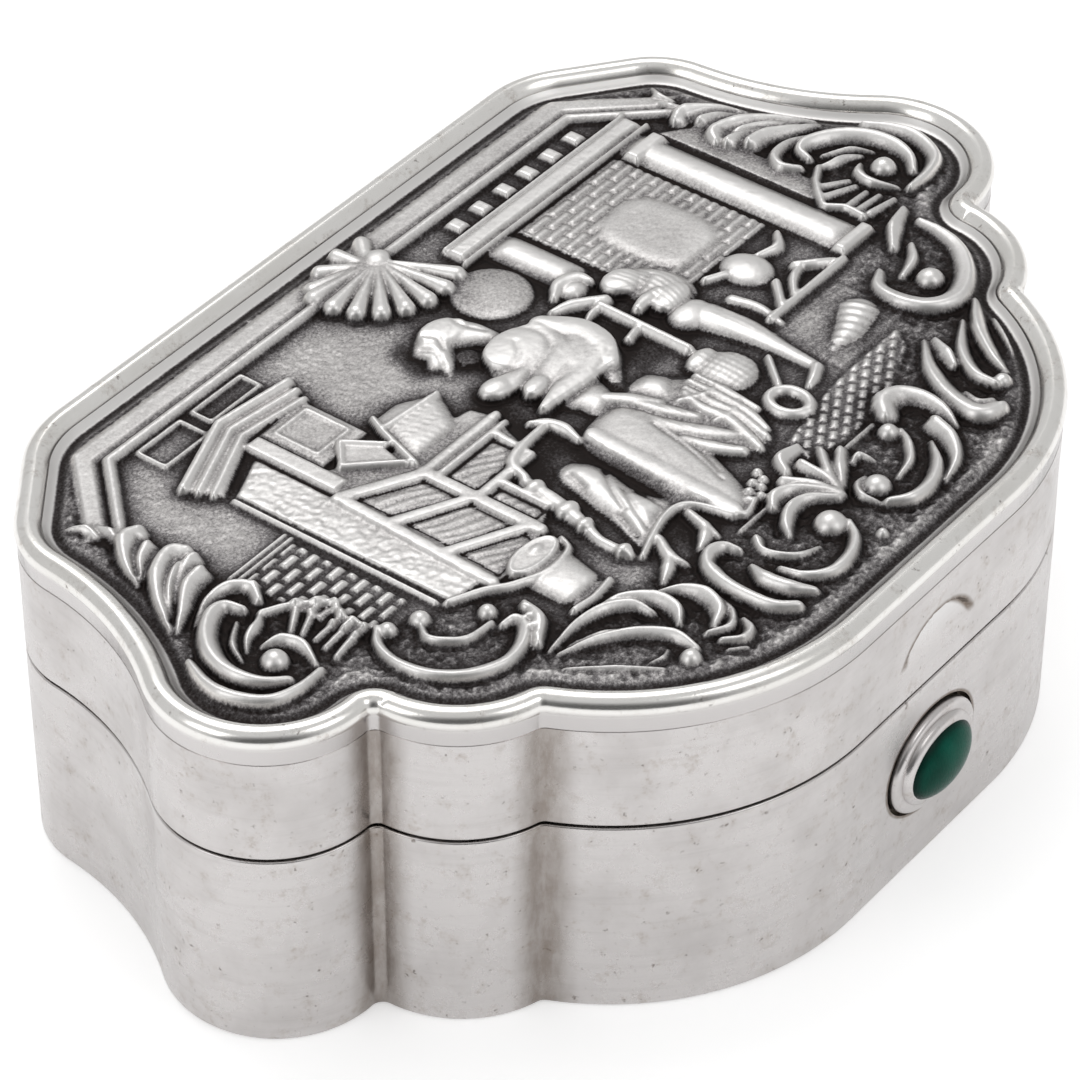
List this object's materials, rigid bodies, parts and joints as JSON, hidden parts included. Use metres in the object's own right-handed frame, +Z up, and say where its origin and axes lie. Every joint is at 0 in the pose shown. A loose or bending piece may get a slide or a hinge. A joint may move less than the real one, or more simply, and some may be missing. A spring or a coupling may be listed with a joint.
{
  "type": "snuff box",
  "caption": "Shaped silver snuff box with a hinged lid, oxidised relief panel in a polished rim, and a sprung cabochon push button that frees the lid catch.",
  "frame": {"origin": "middle of the flat underside, where the box rests", "axes": "+X along the length, +Y to the back where the hinge is, +Z up; the button faces -Y"},
  "size_m": [0.069, 0.0482, 0.0218],
  "materials": {
    "silver": "worn satin polish with fine scratches and light tarnish",
    "bright_silver": "high polish",
    "inner_silver": "soft satin",
    "oxidised_silver": "oxidised relief with bright rubbed crests",
    "spring_steel": "bright spring strip",
    "green_stone": "polished dome"
  },
  "bodies": {
    "body": {"base_plate": "silver", "body_wall": "silver", "inner_bezel": "inner_silver", "body_knuckle_left": "silver", "body_knuckle_middle": "silver", "body_knuckle_right": "silver", "hinge_pin": "spring_steel", "catch_foot": "spring_steel", "catch_rivet_left": "inner_silver", "catch_rivet_right": "inner_silver"},
    "lid": {"lid_wall": "silver", "lid_lining": "inner_silver", "lid_panel": "oxidised_silver", "lid_rim": "bright_silver", "lid_keeper": "inner_silver", "lid_knuckle_left": "silver", "lid_knuckle_right": "silver"},
    "button": {"button_collet": "bright_silver", "button_stone": "green_stone", "button_stem": "inner_silver", "stem_washer": "inner_silver"},
    "catch": {"catch_leaf": "spring_steel", "catch_hook": "spring_steel"}
  },
  "joints": [
    {"name": "lid_hinge", "type": "hinge", "parent": "body", "child": "lid", "pos_m": [0, 0.0229, 0.0131], "axis": [-1, 0, 0], "range_deg": [0, 105]},
    {"name": "button_push", "type": "slide", "parent": "body", "child": "button", "axis": [0, 1, 0], "range_m": [0, 0.0007], "stiffness_N_per_m": 1500, "springref_m": -0.0004},
    {"name": "catch_swing", "type": "hinge", "parent": "body", "child": "catch", "pos_m": [0, -0.01955, 0.00135], "axis": [-1, 0, 0], "range_deg": [0, 7]}
  ],
  "couplings": [
    {"joint": "catch_swing", "follows": "button_push", "rad_per_m": 165.29}
  ]
}
